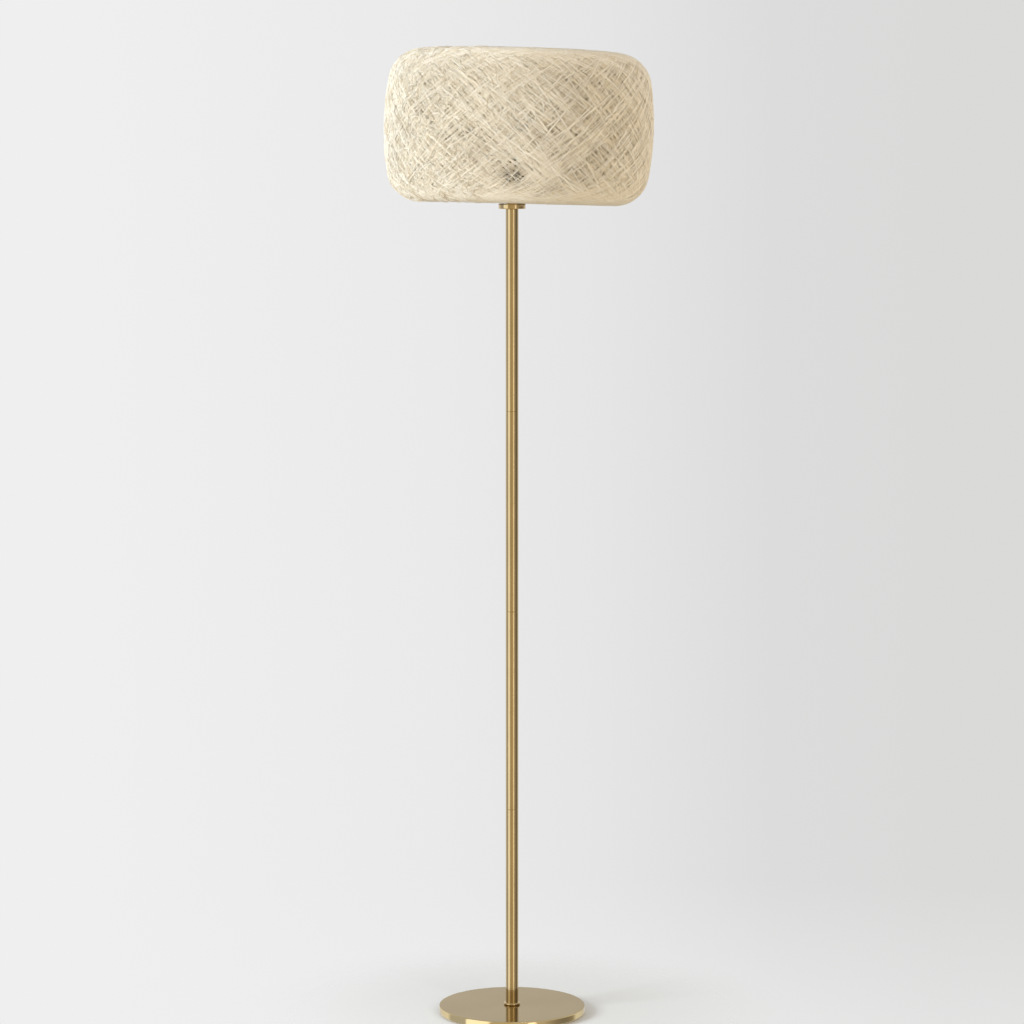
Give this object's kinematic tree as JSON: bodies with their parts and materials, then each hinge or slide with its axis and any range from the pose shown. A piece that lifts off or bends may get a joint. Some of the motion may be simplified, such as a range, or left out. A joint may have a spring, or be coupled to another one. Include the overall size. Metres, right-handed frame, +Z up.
{
  "type": "floor lamp",
  "caption": "Floor lamp with a low drum shade of natural fibre wound over a wire cage, on a slim brass pole and a round brass base.",
  "frame": {"origin": "on the floor under the middle of the base", "axes": "+Z up along the pole, +X to the right of someone who faces the lamp, towards the switch key, +Y to the back, towards the cord inlet"},
  "size_m": [0.3932, 0.3932, 1.4382],
  "materials": {
    "brass_satin": "satin, fine turned brushing",
    "brass_bright": "polished",
    "brass_plain": "plain",
    "rubber_black": "matte",
    "bushing_black": "matte",
    "steel": "zinc plated",
    "holder_black": "moulded, low sheen",
    "phenolic": "moulded",
    "liner_paper": "matte",
    "bulb_frosted": "frosted",
    "bulb_cap_metal": "bright",
    "harp_brassed": "brass plated",
    "cage_white": "off-white lacquer",
    "fibre": "natural fibre strand, bonded"
  },
  "bodies": {
    "stand": {"base_plate": "brass_satin", "base_foot_pad": "rubber_black", "base_washer": "steel", "base_nut": "steel", "base_pipe": "steel", "base_collar": "brass_bright", "cord_bushing": "bushing_black", "pole_section_1": "brass_satin", "pole_section_2": "brass_satin", "pole_section_3": "brass_satin", "pole_section_4": "brass_satin", "pole_plugs": "steel", "pole_joiners": "steel", "top_flange": "brass_bright", "top_pipe": "steel", "cap_nut": "steel", "harp_saddle": "harp_brassed", "holder_cap": "holder_black", "holder_shell": "holder_black", "holder_liner": "liner_paper", "switch_body": "phenolic", "terminal_screws": "brass_plain", "screw_shell": "brass_plain", "centre_contact": "brass_plain"},
    "switch_key": {"key_stem": "brass_bright", "key_knob": "holder_black"},
    "bulb": {"bulb_glass": "bulb_frosted", "bulb_cap": "bulb_cap_metal", "bulb_insulator": "phenolic", "bulb_tip": "brass_plain"},
    "harp": {"harp_wire": "harp_brassed", "harp_feet": "brass_bright"},
    "sleeve_front": {"harp_sleeve_front": "brass_bright"},
    "sleeve_back": {"harp_sleeve_back": "brass_bright"},
    "swivel": {"harp_swivel": "brass_bright"},
    "shade": {"shade_core": "fibre", "shade_winding": "fibre", "shade_top_ring": "cage_white", "shade_bottom_ring": "cage_white", "spider_hub": "cage_white", "spider_arm_1": "cage_white", "spider_arm_2": "cage_white", "spider_arm_3": "cage_white", "cage_rib_1": "cage_white", "cage_rib_2": "cage_white", "cage_rib_3": "cage_white", "cage_rib_4": "cage_white", "cage_rib_5": "cage_white", "cage_rib_6": "cage_white", "cage_rib_7": "cage_white", "cage_rib_8": "cage_white"},
    "finial": {"finial": "brass_bright"}
  },
  "joints": [
    {"name": "key_turn", "type": "hinge", "parent": "stand", "child": "switch_key", "pos_m": [0, 0, 1.243], "axis": [1, 0, 0], "continuous": true},
    {"name": "bulb_unscrew", "type": "slide", "parent": "stand", "child": "bulb", "axis": [0, 0, 1], "range_m": [0, 0.028]},
    {"name": "harp_lift", "type": "slide", "parent": "stand", "child": "harp", "axis": [0, 0, 1], "range_m": [0, 0.04]},
    {"name": "sleeve_front_lift", "type": "slide", "parent": "harp", "child": "sleeve_front", "axis": [0, 0, 1], "range_m": [0, 0.012]},
    {"name": "sleeve_back_lift", "type": "slide", "parent": "harp", "child": "sleeve_back", "axis": [0, 0, 1], "range_m": [0, 0.012]},
    {"name": "shade_swivel", "type": "hinge", "parent": "harp", "child": "swivel", "pos_m": [0, 0, 1.4165], "axis": [0, 0, 1], "continuous": true},
    {"name": "shade_lift", "type": "slide", "parent": "swivel", "child": "shade", "axis": [0, 0, 1], "range_m": [0, 0.26]},
    {"name": "finial_unscrew", "type": "slide", "parent": "shade", "child": "finial", "axis": [0, 0, 1], "range_m": [0, 0.014]}
  ]
}
